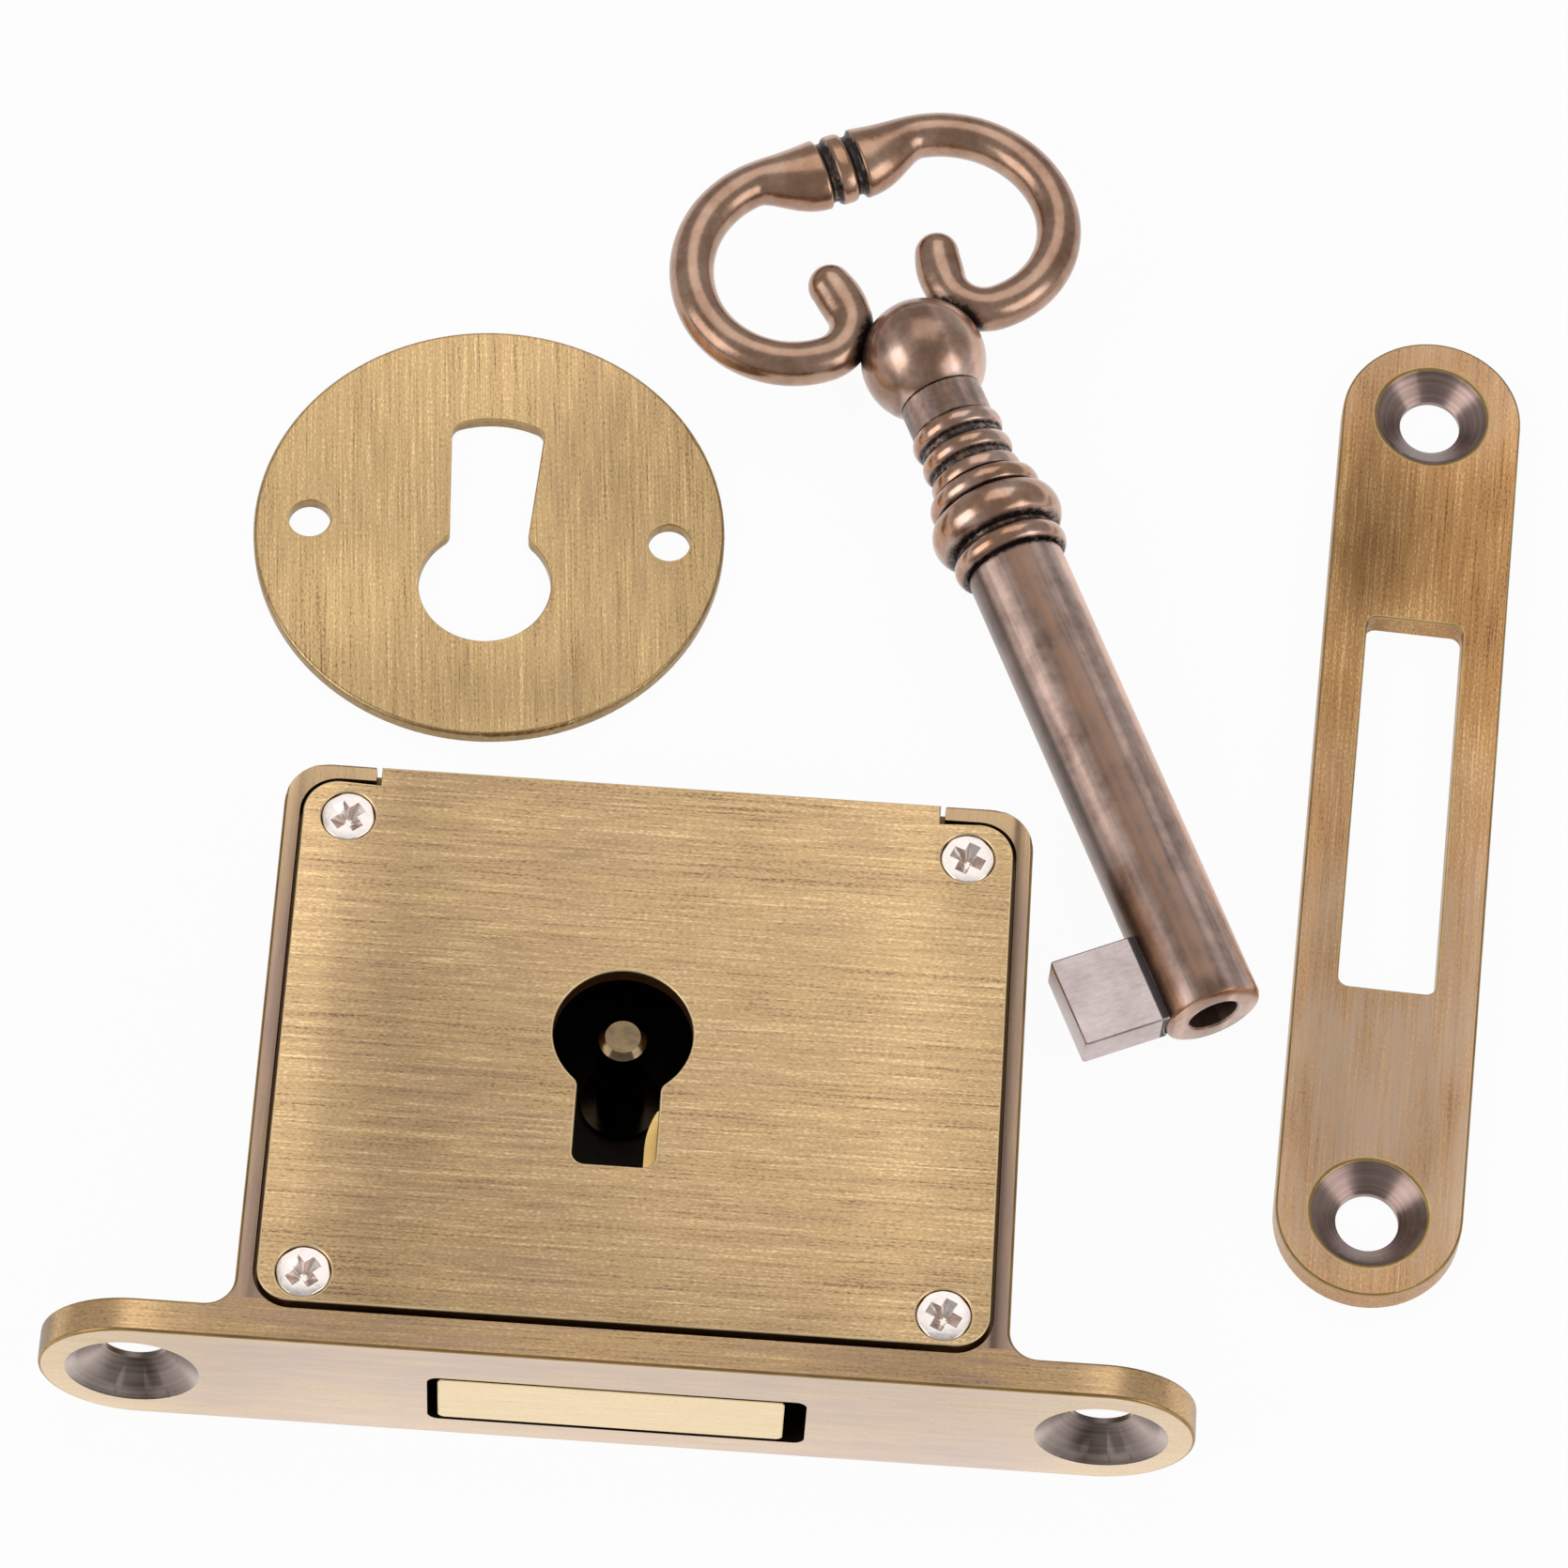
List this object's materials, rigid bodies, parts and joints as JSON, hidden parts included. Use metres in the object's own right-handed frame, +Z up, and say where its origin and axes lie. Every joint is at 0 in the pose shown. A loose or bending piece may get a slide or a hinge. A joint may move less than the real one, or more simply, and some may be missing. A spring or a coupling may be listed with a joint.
{
  "type": "drawer lock",
  "caption": "Mortice drawer lock in antique brass: a case with faceplate, sliding bolt and levers, laid out with its hollow key, round key plate and strike plate.",
  "frame": {"origin": "middle of the laid-out kit's bounding box, on the table", "axes": "+Z up, out of the lock's cover; X along the faceplate; the faceplate's front looks along -Y, the way the bolt shoots"},
  "size_m": [0.1022, 0.1092, 0.0134],
  "materials": {
    "cast_brass": "cast brass, brushed and antiqued, browner in the recesses",
    "cover_brass": "antique brass, brushed along its length",
    "screw_nickel": "bright nickel plate",
    "pin_steel": "turned steel",
    "spring_steel": "blue-grey spring strip",
    "bolt_brass": "pale brushed brass",
    "lever_brass": "stamped sheet brass",
    "key_bronze": "antique bronze, rubbed bright on the high parts",
    "bit_metal": "ground bare metal",
    "escutcheon_brass": "antique brass, brushed up and down",
    "strike_brass": "antique brass, brushed along its length, patchy"
  },
  "bodies": {
    "case": {"housing": "cast_brass", "cover_plate": "cover_brass", "cover_screws": "screw_nickel", "drill_pin": "pin_steel", "bolt_guide_pins": "pin_steel", "lever_pivot": "pin_steel", "lever_spring_lower": "spring_steel", "lever_spring_upper": "spring_steel"},
    "bolt": {"bolt": "bolt_brass", "bolt_stump": "pin_steel"},
    "lever_lower": {"lever_lower": "lever_brass"},
    "lever_upper": {"lever_upper": "lever_brass"},
    "key": {"key_bow": "key_bronze", "key_shank": "key_bronze", "key_bit": "bit_metal"},
    "escutcheon": {"escutcheon": "escutcheon_brass"},
    "strike_plate": {"strike_plate": "strike_brass"}
  },
  "joints": [
    {"name": "bolt_slide", "type": "slide", "parent": "case", "child": "bolt", "axis": [0, -1, 0], "range_m": [0, 0.008]},
    {"name": "lever_lower_lift", "type": "hinge", "parent": "case", "child": "lever_lower", "pos_m": [0.01021, -0.0216, 0.0054], "axis": [0, 0, 1], "range_deg": [0, 13], "deforming": ["lever_spring_lower"]},
    {"name": "lever_upper_lift", "type": "hinge", "parent": "case", "child": "lever_upper", "pos_m": [0.01021, -0.0216, 0.0054], "axis": [0, 0, 1], "range_deg": [0, 13], "deforming": ["lever_spring_upper"]},
    {"name": "key_lift_off", "type": "slide", "parent": "case", "child": "key", "axis": [0, 0, 1], "range_m": [0, 0.04]},
    {"name": "escutcheon_lift_off", "type": "slide", "parent": "case", "child": "escutcheon", "axis": [0, 0, 1], "range_m": [0, 0.04]},
    {"name": "strike_plate_lift_off", "type": "slide", "parent": "case", "child": "strike_plate", "axis": [0, 0, 1], "range_m": [0, 0.04]}
  ],
  "couplings": [
    {"joint": "lever_lower_lift", "follows": "bolt_slide", "rad_per_m": 28.36},
    {"joint": "lever_upper_lift", "follows": "bolt_slide", "rad_per_m": 28.36}
  ]
}
